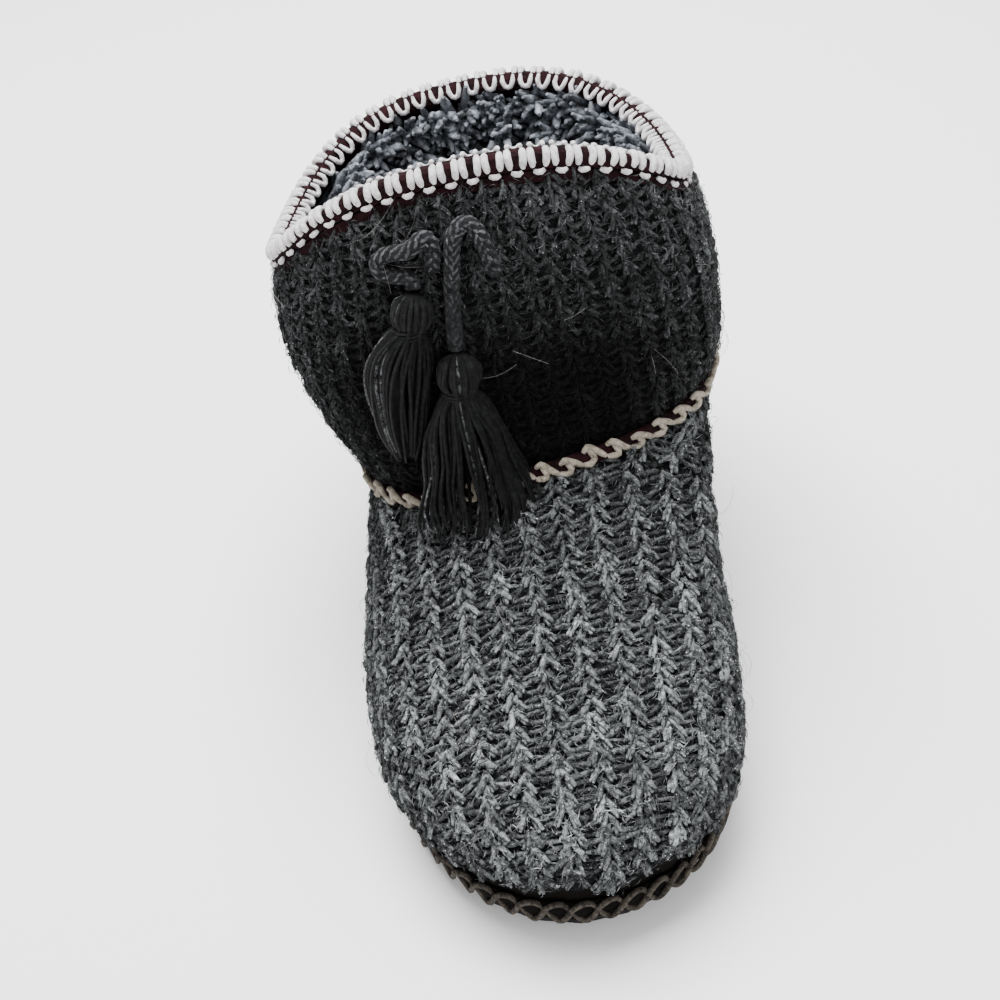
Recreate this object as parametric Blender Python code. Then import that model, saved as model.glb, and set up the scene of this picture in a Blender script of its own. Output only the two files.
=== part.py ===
# Knitted slipper boot, right shoe, standing on its sole.
# The toe points to -Y, the lateral side is -X and +Z is up. The origin is on the floor, under the middle.
# Sizes are in metres.

import math

import bmesh
import bpy
import numpy as np

# Driving sizes of the foot
SOLE_LENGTH = 0.250
BALL_WIDTH = 0.108
INSTEP_HEIGHT = 0.088
TOE_SPRING = 0.004
ARCH_RISE = 0.0015

# x of the sole's middle: the origin is under the middle of the whole shoe, and the shaft leans
CENTRE_LINE = 0.0026

# Driving sizes of the shaft
SHAFT_HEIGHT = 0.098
SHAFT_WIDTH = 0.128

# Walls and seams
WALL = 0.003
GAP = 0.0003
SEAM_GAP = 0.0006
RAND_SETBACK = 0.0012
OUTSOLE_THICKNESS = 0.004
OUTSOLE_SETBACK = 0.0022
INSOLE_THICKNESS = 0.006
LINING_WALL = 0.003
LOCK_LENGTH = 0.0075
SOLE_BRAID_HEIGHT = 0.0085
SOLE_BRAID_THICKNESS = 0.0014
ANKLE_BRAID_HEIGHT = 0.0055
ANKLE_BRAID_THICKNESS = 0.0022
BINDING_HEIGHT = 0.0035
BINDING_STEP = 0.0008
COLLAR_BRAID_HEIGHT = 0.0052
COLLAR_BRAID_STEP = 0.0014

# Points round each wall, and the levels that its rows follow
AROUND = 40
UPPER_ROWS = (1, 1.5, 2, 2.6, 3.3, 4, 4.75, 5.5, 6.1, 6.55, 6.85, 7)
SHAFT_ROWS = (7, 7.2, 7.5, 8, 8.5, 9, 9.5, 10, 10.5, 11, 12)
LINING_ROWS = SHAFT_ROWS[4:-1]
RAND_ROWS = (0, 0.35, 0.7, 1)

# One row for each level of the foot, from the sole's edge up to the ankle seam.
# x, y and z of the front and back points, the half widths, how much the level rolls up on the medial side
# and how far both sides hang below the line from front to back. wide_at is the widest point's share of the way
# back, square is how boxy the level is, and foot is the share of the sole's outline in its shape.
# Lengths are shares of SOLE_LENGTH, heights of INSTEP_HEIGHT and widths of BALL_WIDTH / 2.
LEVEL_COLUMNS = (
    "front_x", "front_y", "front_z", "back_x", "back_y", "back_z",
    "lateral", "medial", "roll", "drop", "wide_at", "square", "foot",
)
FOOT_LEVELS = (
    (0.06, -0.488, 0.05, 0.00, 0.484, 0.05, 0.94, 0.94, 0.00, 0.00, 0.50, 0.0, 1.00),
    (0.06, -0.494, 0.27, 0.00, 0.492, 0.27, 1.02, 1.01, 0.00, 0.00, 0.50, 0.0, 1.00),
    (0.06, -0.484, 0.40, 0.00, 0.494, 0.40, 1.04, 1.03, 0.00, 0.00, 0.45, 0.0, 1.00),
    (0.06, -0.440, 0.55, 0.00, 0.490, 0.53, 1.02, 1.02, 0.02, 0.02, 0.40, 0.1, 0.95),
    (0.05, -0.350, 0.68, 0.00, 0.482, 0.62, 0.98, 1.00, 0.05, 0.02, 0.36, 0.2, 0.80),
    (0.03, -0.250, 0.79, 0.00, 0.472, 0.69, 0.95, 1.03, 0.08, 0.02, 0.34, 0.3, 0.55),
    (0.02, -0.150, 0.89, 0.00, 0.460, 0.75, 0.92, 1.06, 0.12, 0.00, 0.32, 0.3, 0.25),
    (-0.03, -0.068, 0.985, 0.00, 0.448, 0.80, 0.88, 1.10, 0.16, -0.02, 0.30, 0.3, 0.00),
)
# The shaft's levels above the ankle seam. Heights are shares of SHAFT_HEIGHT above INSTEP_HEIGHT,
# widths of SHAFT_WIDTH / 2 and lengths of SOLE_LENGTH.
SHAFT_LEVELS = (
    (-0.03, -0.060, 0.06, 0.00, 0.448, -0.12, 0.80, 0.98, 0.13, -0.02, 0.30, 0.4, 0.0),
    (-0.04, -0.055, 0.25, -0.04, 0.456, 0.08, 0.92, 1.01, 0.09, 0.03, 0.30, 0.4, 0.0),
    (-0.09, -0.045, 0.52, -0.09, 0.456, 0.32, 0.95, 1.04, 0.08, 0.08, 0.28, 0.4, 0.0),
    (-0.13, -0.015, 0.78, -0.13, 0.436, 0.52, 0.92, 1.02, 0.09, 0.15, 0.27, 0.4, 0.0),
    (-0.15, 0.012, 0.99, -0.15, 0.400, 0.665, 0.88, 0.95, 0.07, 0.22, 0.26, 0.4, 0.0),
)
# The sole's outline: share of the length from the toe, then lateral and medial half widths
# as shares of BALL_WIDTH / 2.
OUTLINE = (
    (0.02, 0.36, 0.40),
    (0.08, 0.69, 0.75),
    (0.18, 0.93, 0.94),
    (0.33, 1.00, 0.95),
    (0.48, 0.97, 0.88),
    (0.63, 0.88, 0.80),
    (0.78, 0.77, 0.74),
    (0.90, 0.61, 0.60),
    (0.98, 0.32, 0.32),
)

# The tie: its cord's diameter, and the route of each end from where it comes out of the knit to its
# tassel, chosen by hand
CORD_DIAMETER = 0.0046
CORD_STEP = 0.0028
TIE_RIGHT = (
    (0.0004, -0.0092, 0.1569), (-0.0004, -0.0096, 0.1604), (-0.0014, -0.0086, 0.1648), (-0.0029, -0.0076, 0.1690),
    (-0.0057, -0.0069, 0.1720), (-0.0088, -0.0072, 0.1703), (-0.0104, -0.0080, 0.1656), (-0.0110, -0.0090, 0.1599),
    (-0.0119, -0.0100, 0.1556), (-0.0121, -0.0110, 0.1520), (-0.0124, -0.0122, 0.1476), (-0.0126, -0.0133, 0.1434),
    (-0.0128, -0.0143, 0.1400), (-0.0129, -0.0151, 0.1364),
)
TIE_LEFT = (
    (-0.0166, -0.0073, 0.1588), (-0.0161, -0.0078, 0.1626), (-0.0158, -0.0074, 0.1664), (-0.0174, -0.0073, 0.1690),
    (-0.0198, -0.0078, 0.1680), (-0.0224, -0.0082, 0.1659), (-0.0258, -0.0070, 0.1650), (-0.0295, -0.0058, 0.1634),
    (-0.0316, -0.0056, 0.1608), (-0.0304, -0.0067, 0.1586), (-0.0268, -0.0076, 0.1577), (-0.0238, -0.0085, 0.1577),
    (-0.0224, -0.0098, 0.1566), (-0.0224, -0.0107, 0.1551),
)

# The tassels lie on the shaft and, on the right, over the ankle seam. Each row is a section: the level and
# angle that it lies at, how far out its middle is, and its half width and half depth, in shares of TASSEL_HEAD.
# The first SKIRT_ROW rows are the bound head, and the others are the fluted skirt.
TASSEL_HEAD = 0.0125
TASSEL_COLUMNS = ("level", "angle", "out", "half_width", "half_depth")
SKIRT_ROW = 6
STRANDS = 16
STRAND_LENGTH = 0.005
TASSEL_RIGHT = (
    (9.890, 0.080, 0.30, 0.15, 0.15),
    (9.85, 0.083, 0.37, 0.36, 0.29),
    (9.76, 0.088, 0.44, 0.50, 0.37),
    (9.66, 0.092, 0.45, 0.51, 0.38),
    (9.55, 0.100, 0.42, 0.44, 0.34),
    (9.47, 0.105, 0.38, 0.35, 0.28),
    (9.35, 0.110, 0.40, 0.52, 0.32),
    (9.15, 0.115, 0.41, 0.76, 0.33),
    (8.88, 0.120, 0.43, 1.00, 0.32),
    (8.52, 0.130, 0.50, 1.18, 0.31),
    (8.10, 0.140, 0.57, 1.32, 0.29),
    (6.57, 0.185, 0.50, 1.42, 0.26),
    (6.29, 0.215, 0.37, 1.36, 0.22),
    (6.10, 0.230, 0.29, 1.20, 0.16),
)
TASSEL_LEFT = (
    (10.60, 0.170, 0.42, 0.15, 0.15),
    (10.56, 0.174, 0.44, 0.36, 0.29),
    (10.49, 0.182, 0.46, 0.47, 0.37),
    (10.40, 0.192, 0.46, 0.48, 0.38),
    (10.31, 0.205, 0.42, 0.42, 0.34),
    (10.24, 0.220, 0.39, 0.35, 0.28),
    (10.14, 0.245, 0.40, 0.55, 0.32),
    (9.95, 0.290, 0.41, 0.72, 0.34),
    (9.70, 0.330, 0.40, 0.76, 0.34),
    (9.44, 0.370, 0.38, 0.70, 0.32),
    (9.15, 0.405, 0.36, 0.56, 0.29),
    (8.85, 0.435, 0.34, 0.38, 0.24),
    (8.64, 0.455, 0.32, 0.26, 0.17),
)


def natural_spline(knots, values):
    """A smooth curve through values at knots, as a function; values may have several columns."""
    x = np.asarray(knots, float)
    y = np.asarray(values, float).reshape(len(x), -1)
    step = np.diff(x)
    system = np.eye(len(x))
    right = np.zeros_like(y)
    for i in range(1, len(x) - 1):
        system[i, i - 1 : i + 2] = step[i - 1], 2 * (step[i - 1] + step[i]), step[i]
        right[i] = 6 * ((y[i + 1] - y[i]) / step[i] - (y[i] - y[i - 1]) / step[i - 1])
    bend = np.linalg.solve(system, right)

    def at(where):
        i = int(np.clip(np.searchsorted(x, where) - 1, 0, len(x) - 2))
        h = step[i]
        a, b = (x[i + 1] - where) / h, (where - x[i]) / h
        line = a * y[i] + b * y[i + 1]
        return line + ((a**3 - a) * bend[i] + (b**3 - b) * bend[i + 1]) * h * h / 6

    return at


def level_sizes():
    """The level tables in metres."""
    rows = []
    for table, floor, height, width in (
        (FOOT_LEVELS, 0.0, INSTEP_HEIGHT, BALL_WIDTH / 2),
        (SHAFT_LEVELS, INSTEP_HEIGHT, SHAFT_HEIGHT, SHAFT_WIDTH / 2),
    ):
        for row in table:
            v = dict(zip(LEVEL_COLUMNS, row))
            front = v["front_x"] * width, v["front_y"] * SOLE_LENGTH, floor + v["front_z"] * height
            back = v["back_x"] * width, v["back_y"] * SOLE_LENGTH, floor + v["back_z"] * height
            sides = v["lateral"] * width, v["medial"] * width
            hang = v["roll"] * height, v["drop"] * height
            rows.append((*front, *back, *sides, *hang, v["wide_at"], v["square"], v["foot"]))
    return rows


LEVELS = natural_spline(range(len(FOOT_LEVELS) + len(SHAFT_LEVELS)), level_sizes())
ANKLE = len(FOOT_LEVELS) - 1
COLLAR = len(FOOT_LEVELS) + len(SHAFT_LEVELS) - 1


def outline_ratio():
    """The outline's half widths over an ellipse's, by angle from the toe."""
    angles, ratios = [], []
    for share, lateral, medial in OUTLINE:
        ellipse = 2 * math.sqrt(share * (1 - share))
        angles.append(math.acos(1 - 2 * share))
        ratios.append((lateral / ellipse, medial / ellipse))
    angles = [0.0] + angles + [math.pi]
    ratios = [ratios[0]] + ratios + [ratios[-1]]
    return natural_spline(angles, ratios)


OUTLINE_RATIO = outline_ratio()


def ground_rise(y):
    """How far the sole's underside is above the floor: toe spring and a low arch."""
    share = y / SOLE_LENGTH + 0.5
    toe = max(0.0, 0.22 - share) / 0.22
    arch = max(0.0, 1 - abs(share - 0.58) / 0.14)
    return TOE_SPRING * toe**2 + ARCH_RISE * arch * arch * (3 - 2 * arch)


def surface(level, angle):
    """A point of the outer surface. level counts the rows of the tables, and angle runs from the toe
    round the lateral side to the heel and back along the medial side."""
    fx, fy, fz, bx, by, bz, lateral, medial, roll, drop, wide_at, square, foot = LEVELS(level).ravel()
    cosine, sine = math.cos(angle), math.sin(angle)
    folded = math.acos(max(-1.0, min(1.0, cosine)))
    on_lateral = sine >= 0
    power = 2 / (2 + 2 * square)
    reach = abs(cosine) ** power
    round_along = wide_at * (1 - reach) if cosine > 0 else wide_at + (1 - wide_at) * reach
    round_half = abs(sine) ** power
    foot_half = abs(sine) * OUTLINE_RATIO(folded).ravel()[0 if on_lateral else 1]
    along = foot * (1 - cosine) / 2 + (1 - foot) * round_along
    half = foot * foot_half + (1 - foot) * round_half
    x = CENTRE_LINE + fx + (bx - fx) * along + (-lateral if on_lateral else medial) * half
    y = fy + (by - fy) * along
    z = fz + (bz - fz) * along + roll * (-half if on_lateral else half) - drop * sine * sine
    return np.array((x, y, z + ground_rise(y) * max(0.0, 1 - level / ANKLE)))


def outward(level, angle):
    """The unit normal of the outer surface, and how the surface rises for each level."""
    step = 0.02
    rising = (surface(level + step, angle) - surface(level - step, angle)) / (2 * step)
    turning = surface(level, angle + step) - surface(level, angle - step)
    normal = np.cross(rising, turning)
    return normal / np.linalg.norm(normal), rising


def near(level, angle, along=0.0, out=0.0, lift=0.0):
    """The point that lies along metres up the surface from a level, and out metres off it.
    lift moves it on in the surface's direction there, for the gap between two edges."""
    normal, rising = outward(level, angle)
    if along:
        level = level + along / np.linalg.norm(rising)
        normal, rising = outward(level, angle)
    return surface(level, angle) + normal * out + rising / np.linalg.norm(rising) * lift


def ring_angles(level, count):
    """Angles at equal distances round a level, half of them on each side of the foot."""
    angles = []
    fine = np.linspace(0, math.pi, 121)
    for side in (1, -1):
        points = np.array([surface(level, side * a) for a in fine])
        run = np.concatenate([[0], np.cumsum(np.linalg.norm(np.diff(points, axis=0), axis=1))])
        at = np.interp(np.linspace(0, run[-1], count // 2 + 1), run, fine)
        angles.append(at if side == 1 else 2 * math.pi - at[::-1])
    return np.concatenate([angles[0][:-1], angles[1][:-1]])


def ring(level, along=0.0, out=0.0, lift=0.0, count=AROUND):
    return [near(level, angle, along, out, lift) for angle in ring_angles(level, count)]


def new_object(name, mesh, material):
    mesh.materials.append(material)
    obj = bpy.data.objects.new(name, mesh)
    bpy.context.scene.collection.objects.link(obj)
    return obj


def turn_out(work):
    """Turns the faces of a closed bmesh outwards."""
    bmesh.ops.recalc_face_normals(work, faces=work.faces)
    if work.calc_volume(signed=True) < 0:
        bmesh.ops.reverse_faces(work, faces=work.faces)


def finish(work, name, material, smooth_degrees=40):
    """Makes an object of a closed bmesh."""
    turn_out(work)
    mesh = bpy.data.meshes.new(name)
    work.to_mesh(mesh)
    work.free()
    mesh.shade_smooth()
    mesh.set_sharp_from_angle(angle=math.radians(smooth_degrees))
    return new_object(name, mesh, material)


def add_rings(work, rings, closed, edges=()):
    """Rows of quads between rings of points. closed joins the last ring to the first. edges lists the rows
    that are cut edges, from the outer skin to the inner or back: their quads are split alike, from
    an outer point to the next inner one, so that two edges that face each other stay parallel."""
    rows = [[work.verts.new(p) for p in points] for points in rings]
    pairs = list(zip(rows, rows[1:] + rows[:1])) if closed else list(zip(rows, rows[1:]))
    faces = []
    for number, (low, high) in enumerate(pairs):
        for i in range(len(low)):
            j = (i + 1) % len(low)
            if number not in edges:
                faces.append(work.faces.new((low[i], low[j], high[j], high[i])))
            elif edges.index(number) == 0:
                faces.append(work.faces.new((low[i], low[j], high[j])))
                faces.append(work.faces.new((low[i], high[j], high[i])))
            else:
                faces.append(work.faces.new((low[i], low[j], high[i])))
                faces.append(work.faces.new((low[j], high[j], high[i])))
    return rows, faces


def wall(name, rows, material, outer=0.0, inner=-WALL):
    """A wall of the shoe. rows lists its levels, or (level, along, lift) where an edge is moved."""
    places = [row if isinstance(row, tuple) else (row, 0.0, 0.0) for row in rows]
    rings = [ring(level, along, outer, lift) for level, along, lift in places]
    rings += [ring(level, along, inner, lift) for level, along, lift in reversed(places)]
    work = bmesh.new()
    add_rings(work, rings, closed=True, edges=(len(places) - 1, 2 * len(places) - 1))
    return finish(work, name, material)


def bead(name, level, section, material, edges=()):
    """A band round the shoe at a level. section lists the (along, out, lift) points of its section."""
    work = bmesh.new()
    add_rings(work, [ring(level, *place) for place in section], closed=True, edges=edges)
    return finish(work, name, material)


def dome(height, base, thickness, steps=4):
    """A section that is flat below and round above, standing on base."""
    section = [(share * height, base, 0.0) for share in (0.5, 0.25, 0.0, -0.25, -0.5)]
    for i in range(steps + 1):
        turn = math.pi * i / steps
        out = base + thickness * (0.35 + 0.65 * math.sin(turn))
        section.append((-height / 2 * math.cos(turn), out, 0.0))
    return section


def plate(name, level, out, bottom, top, material, crown=0.0):
    """A flat piece of the sole. Its outline is the level's, moved by out, and both faces follow
    the rise of the ground line. crown lifts the middle of the upper face."""
    outline = ring(level, 0.0, out)
    middle = np.mean(outline, axis=0)
    shares = (1.0, 0.93, 0.66, 0.33)

    def spread(share, height):
        points = []
        for p in outline:
            x = middle[0] + (p[0] - middle[0]) * share
            y = middle[1] + (p[1] - middle[1]) * share
            points.append((x, y, height + ground_rise(y)))
        return points

    edge = 0.25 * (top - bottom)
    rings = [spread(share, bottom) for share in shares[:0:-1]]
    rings += [spread(1.0, bottom + edge), spread(1.0, top - edge)]
    rings += [spread(share, top + crown * (1 - share)) for share in shares[1:]]
    work = bmesh.new()
    rows, _ = add_rings(work, rings, closed=False)
    for row, height in ((rows[0], bottom), (rows[-1], top + crown)):
        centre = work.verts.new((middle[0], middle[1], height + ground_rise(middle[1])))
        for i in range(len(row)):
            work.faces.new((row[i], row[(i + 1) % len(row)], centre))
    return finish(work, name, material)


def lining(material):
    """The pile lining of the shaft, with locks standing on its inner side."""
    back = -(WALL + GAP)
    depth = COLLAR_BRAID_HEIGHT + BINDING_HEIGHT
    rows = [(COLLAR, -depth, -SEAM_GAP)] + [(level, 0.0, 0.0) for level in reversed(LINING_ROWS)]
    work = bmesh.new()
    rings = [ring(level, along, back, lift) for level, along, lift in rows]
    rings += [ring(level, along, back - LINING_WALL, lift) for level, along, lift in reversed(rows)]
    _, faces = add_rings(work, rings, closed=True)
    inner = faces[len(rows) * AROUND : (2 * len(rows) - 1) * AROUND]
    turn_out(work)
    for number, face in enumerate(inner):
        row, column = divmod(number, AROUND)
        if (row + column) % 2:
            continue
        length = LOCK_LENGTH * (0.8 + 0.2 * math.sin(1.7 * column + 2.3 * row))
        lean = np.array((0.0, 0.0, -0.45 * length))
        normal = np.array(face.normal)
        centre = np.array(face.calc_center_median())
        tip = bmesh.ops.extrude_discrete_faces(work, faces=[face])["faces"][0]
        for vert in tip.verts:
            spread = np.array(vert.co) - centre
            vert.co = centre + 0.45 * spread + normal * length + lean
    return finish(work, "lining", material)


def cord(name, points, material):
    """A round cord along a smooth curve through points."""
    runs = np.concatenate([[0], np.cumsum(np.linalg.norm(np.diff(points, axis=0), axis=1))])
    route = natural_spline(runs, points)
    places = np.linspace(0, runs[-1], round(runs[-1] / CORD_STEP) + 1)
    curve = bpy.data.curves.new(name, "CURVE")
    curve.dimensions = "3D"
    curve.bevel_depth = CORD_DIAMETER / 2
    curve.bevel_resolution = 2
    curve.use_fill_caps = True
    spline = curve.splines.new("POLY")
    spline.points.add(len(places) - 1)
    for point, place in zip(spline.points, places):
        point.co = (*route(place).ravel(), 1)
    return new_object(name, curve, material)


def tassel(name, rows, material):
    """A bound head over a fluted skirt, with loose strands at its lower edge."""
    places = [dict(zip(TASSEL_COLUMNS, row)) for row in rows]
    middles = [near(p["level"], p["angle"], 0.0, p["out"] * TASSEL_HEAD) for p in places]
    rings = []
    for number, place in enumerate(places):
        down = middles[min(number + 1, len(places) - 1)] - middles[max(number - 1, 0)]
        across = np.cross(outward(place["level"], place["angle"])[0], down)
        across /= np.linalg.norm(across)
        out = np.cross(down, across)
        out /= np.linalg.norm(out)
        points = []
        for i in range(STRANDS):
            turn = 2 * math.pi * i / STRANDS
            groove = 0.88 if i % 2 and number > SKIRT_ROW else 1.0
            side = place["half_width"] * TASSEL_HEAD * math.cos(turn)
            proud = place["half_depth"] * TASSEL_HEAD * math.sin(turn) * groove - side**2 / SHAFT_WIDTH
            points.append(middles[number] + across * side + out * proud)
        rings.append(points)
    work = bmesh.new()
    verts, faces = add_rings(work, rings, closed=False)
    work.faces.new(reversed(verts[0]))
    work.faces.new(verts[-1])
    turn_out(work)
    down = middles[-1] - middles[-2]
    down /= np.linalg.norm(down)
    for face in faces[-STRANDS::2]:
        normal = np.array(face.normal)
        tip = bmesh.ops.extrude_discrete_faces(work, faces=[face])["faces"][0]
        middle = np.array(tip.calc_center_median())
        for vert in tip.verts:
            vert.co = middle + 0.5 * (np.array(vert.co) - middle) + STRAND_LENGTH * (down + 0.15 * normal)
    return finish(work, name, material)


def plain_material(name, colour, roughness=0.95, metallic=0.0):
    material = bpy.data.materials.new(name)
    material.use_nodes = True
    shader = material.node_tree.nodes["Principled BSDF"]
    shader.inputs["Base Color"].default_value = (*colour, 1)
    shader.inputs["Roughness"].default_value = roughness
    shader.inputs["Metallic"].default_value = metallic
    return material


def build():
    for obj in list(bpy.data.objects):
        bpy.data.objects.remove(obj)

    knit = plain_material("charcoal_knit", (0.045, 0.048, 0.052))
    suede = plain_material("dark_suede", (0.018, 0.013, 0.012))
    rubber = plain_material("sole_rubber", (0.02, 0.02, 0.021), 0.8)
    pile = plain_material("grey_blue_pile", (0.12, 0.14, 0.17))
    tape = plain_material("maroon_tape", (0.03, 0.008, 0.012))
    white_yarn = plain_material("white_yarn", (0.62, 0.58, 0.58))
    beige_yarn = plain_material("beige_yarn", (0.42, 0.38, 0.33))
    taupe_yarn = plain_material("taupe_yarn", (0.2, 0.17, 0.14))
    black_cord = plain_material("black_cord", (0.03, 0.031, 0.034))
    black_yarn = plain_material("black_yarn", (0.015, 0.015, 0.016))

    half_gap = SEAM_GAP / 2
    trim = -(COLLAR_BRAID_HEIGHT + BINDING_HEIGHT)
    wall("upper", [(1, 0.0, SEAM_GAP), *UPPER_ROWS[1:-1], (ANKLE, 0.0, -half_gap)], knit)
    wall("shaft", [(ANKLE, 0.0, half_gap), *SHAFT_ROWS[1:-1], (COLLAR, trim, -SEAM_GAP)], knit)
    wall("rand", RAND_ROWS, suede, -RAND_SETBACK, -RAND_SETBACK - WALL)

    plate("outsole", 0, -OUTSOLE_SETBACK, 0.0, OUTSOLE_THICKNESS, rubber)
    floor = OUTSOLE_THICKNESS + GAP
    inside = -(RAND_SETBACK + WALL + 2 * GAP)
    plate("insole", 0, inside, floor, floor + INSOLE_THICKNESS, pile, crown=0.001)

    bead("sole_braid", 0.36, dome(SOLE_BRAID_HEIGHT, GAP - RAND_SETBACK, SOLE_BRAID_THICKNESS), taupe_yarn)
    bead("ankle_braid", ANKLE, dome(ANKLE_BRAID_HEIGHT, 1.5 * SEAM_GAP, ANKLE_BRAID_THICKNESS), beige_yarn)
    top = -COLLAR_BRAID_HEIGHT
    step = BINDING_STEP
    binding = [
        (trim, -WALL - step, 0.0), (trim, step, 0.0),
        (top, step, -SEAM_GAP), (top, -WALL - step, -SEAM_GAP),
    ]
    bead("collar_binding", COLLAR, binding, tape, edges=(2, 0))
    step = COLLAR_BRAID_STEP
    braid = [
        (top, -WALL - step, 0.0), (top, step, 0.0), (0.6 * top, 1.15 * step, 0.0), (0.2 * top, step, 0.0),
        (0.0, 0.2 * step, 0.0), (0.0, -WALL / 2, 0.2 * step), (0.0, -WALL - 0.2 * step, 0.0),
        (0.2 * top, -WALL - step, 0.0),
    ]
    bead("collar_braid", COLLAR, braid, white_yarn, edges=(None, 0))
    lining(pile)

    cord("tie_right", TIE_RIGHT, black_cord)
    cord("tie_left", TIE_LEFT, black_cord)
    tassel("tassel_right", TASSEL_RIGHT, black_yarn)
    tassel("tassel_left", TASSEL_LEFT, black_yarn)


build()
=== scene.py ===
# Knitted slipper boot: the looks of the right shoe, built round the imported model.
import math

import bmesh
import bpy
import numpy as np
from mathutils import Matrix, Vector
from mathutils.bvhtree import BVHTree


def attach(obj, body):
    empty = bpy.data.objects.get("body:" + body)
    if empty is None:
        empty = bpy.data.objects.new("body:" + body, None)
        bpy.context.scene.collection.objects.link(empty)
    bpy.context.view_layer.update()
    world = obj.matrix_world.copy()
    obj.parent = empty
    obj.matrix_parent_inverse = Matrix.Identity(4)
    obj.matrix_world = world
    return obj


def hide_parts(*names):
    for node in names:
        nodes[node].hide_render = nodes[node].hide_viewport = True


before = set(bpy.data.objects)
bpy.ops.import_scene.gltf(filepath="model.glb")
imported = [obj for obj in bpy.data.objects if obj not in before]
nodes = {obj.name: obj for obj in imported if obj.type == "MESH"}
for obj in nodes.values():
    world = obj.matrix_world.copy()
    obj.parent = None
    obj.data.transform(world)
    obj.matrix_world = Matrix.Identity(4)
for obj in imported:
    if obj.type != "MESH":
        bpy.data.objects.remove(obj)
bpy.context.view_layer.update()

dice = np.random.default_rng(7)


# Making objects

def linkPiece(name, mesh, material):
    mesh.materials.clear()
    mesh.materials.append(material)
    piece = bpy.data.objects.new(name, mesh)
    bpy.context.scene.collection.objects.link(piece)
    return piece


def newPiece(name, work, material):
    mesh = bpy.data.meshes.new(name)
    work.to_mesh(mesh)
    work.free()
    mesh.shade_smooth()
    return linkPiece(name, mesh, material)


def ride(piece):
    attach(piece, "root")
    return piece


def bakedMesh(name, helper):
    # the mesh that a helper's modifiers or bevel give, and the helper removed
    graph = bpy.context.evaluated_depsgraph_get()
    mesh = bpy.data.meshes.new_from_object(
        helper.evaluated_get(graph), preserve_all_data_layers=True, depsgraph=graph)
    mesh.name = name
    bpy.data.objects.remove(helper)
    return mesh


def yarnTubes(name, strands, thickness, material, closed=False, taper=None, sides=1):
    # round yarns along lists of points, as one piece
    curve = bpy.data.curves.new(name, "CURVE")
    curve.dimensions = "3D"
    curve.bevel_depth = thickness / 2
    curve.bevel_resolution = sides
    curve.use_fill_caps = not closed
    for strand in strands:
        spline = curve.splines.new("POLY")
        spline.points.add(len(strand) - 1)
        spline.points.foreach_set("co", np.hstack([strand, np.ones((len(strand), 1))]).ravel())
        if taper is not None:
            spline.points.foreach_set("radius", np.interp(np.linspace(0, 1, len(strand)), *taper))
        spline.use_cyclic_u = closed
    helper = bpy.data.objects.new(name, curve)
    bpy.context.scene.collection.objects.link(helper)
    mesh = bakedMesh(name, helper)
    mesh.shade_smooth()
    return linkPiece(name, mesh, material)


def addNode(tree, kind, inputs=None, **settings):
    node = tree.nodes.new(kind)
    for name, value in settings.items():
        setattr(node, name, value)
    for name, value in (inputs or {}).items():
        if isinstance(value, bpy.types.NodeSocket):
            tree.links.new(value, node.inputs[name])
        else:
            node.inputs[name].default_value = value
    return node


def copyTree(shape):
    # nodes that lay a shape on points, turned and sized by the points' own values
    tree = bpy.data.node_groups.new("layCopies", "GeometryNodeTree")
    tree.interface.new_socket("Places", in_out="INPUT", socket_type="NodeSocketGeometry")
    tree.interface.new_socket("Copies", in_out="OUTPUT", socket_type="NodeSocketGeometry")
    places = tree.nodes.new("NodeGroupInput")
    made = tree.nodes.new("NodeGroupOutput")
    source = addNode(tree, "GeometryNodeObjectInfo", {"Object": shape})
    turn = addNode(tree, "GeometryNodeInputNamedAttribute", {"Name": "turn"}, data_type="QUATERNION")
    size = addNode(tree, "GeometryNodeInputNamedAttribute", {"Name": "size"}, data_type="FLOAT_VECTOR")
    copies = addNode(tree, "GeometryNodeInstanceOnPoints", {
        "Points": places.outputs["Places"], "Instance": source.outputs["Geometry"],
        "Rotation": turn.outputs["Attribute"], "Scale": size.outputs["Attribute"]})
    real = addNode(tree, "GeometryNodeRealizeInstances", {"Geometry": copies.outputs["Instances"]})
    tree.links.new(real.outputs["Geometry"], made.inputs["Copies"])
    return tree


def layCopies(name, shape, places):
    # one piece of joined copies of a shape, which is used up
    # each place is (point, across, along, out, size, shade)
    material = shape.data.materials[0]
    points = bpy.data.meshes.new(name + "Places")
    points.vertices.add(len(places))
    points.vertices.foreach_set("co", [c for place in places for c in place[0]])
    turns = [Matrix(place[1:4]).transposed().to_quaternion() for place in places]
    points.attributes.new("turn", "QUATERNION", "POINT").data.foreach_set(
        "value", [c for q in turns for c in q])
    points.attributes.new("size", "FLOAT_VECTOR", "POINT").data.foreach_set(
        "vector", [c for place in places for c in place[4]])
    points.attributes.new("shade", "FLOAT", "POINT").data.foreach_set(
        "value", [place[5] for place in places])
    helper = bpy.data.objects.new(name + "Helper", points)
    bpy.context.scene.collection.objects.link(helper)
    helper.modifiers.new("copies", "NODES").node_group = copyTree(shape)
    piece = linkPiece(name, bakedMesh(name, helper), material)
    bpy.data.objects.remove(shape)
    return piece


def leafShape(length, width, material):
    # a plump strand along Y
    work = bmesh.new()
    bmesh.ops.create_uvsphere(work, u_segments=6, v_segments=5, radius=0.5)
    bmesh.ops.rotate(work, verts=work.verts, matrix=Matrix.Rotation(math.radians(90), 3, "X"))
    bmesh.ops.scale(work, verts=work.verts, vec=(width, length, width))
    return newPiece("leafShape", work, material)


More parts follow.
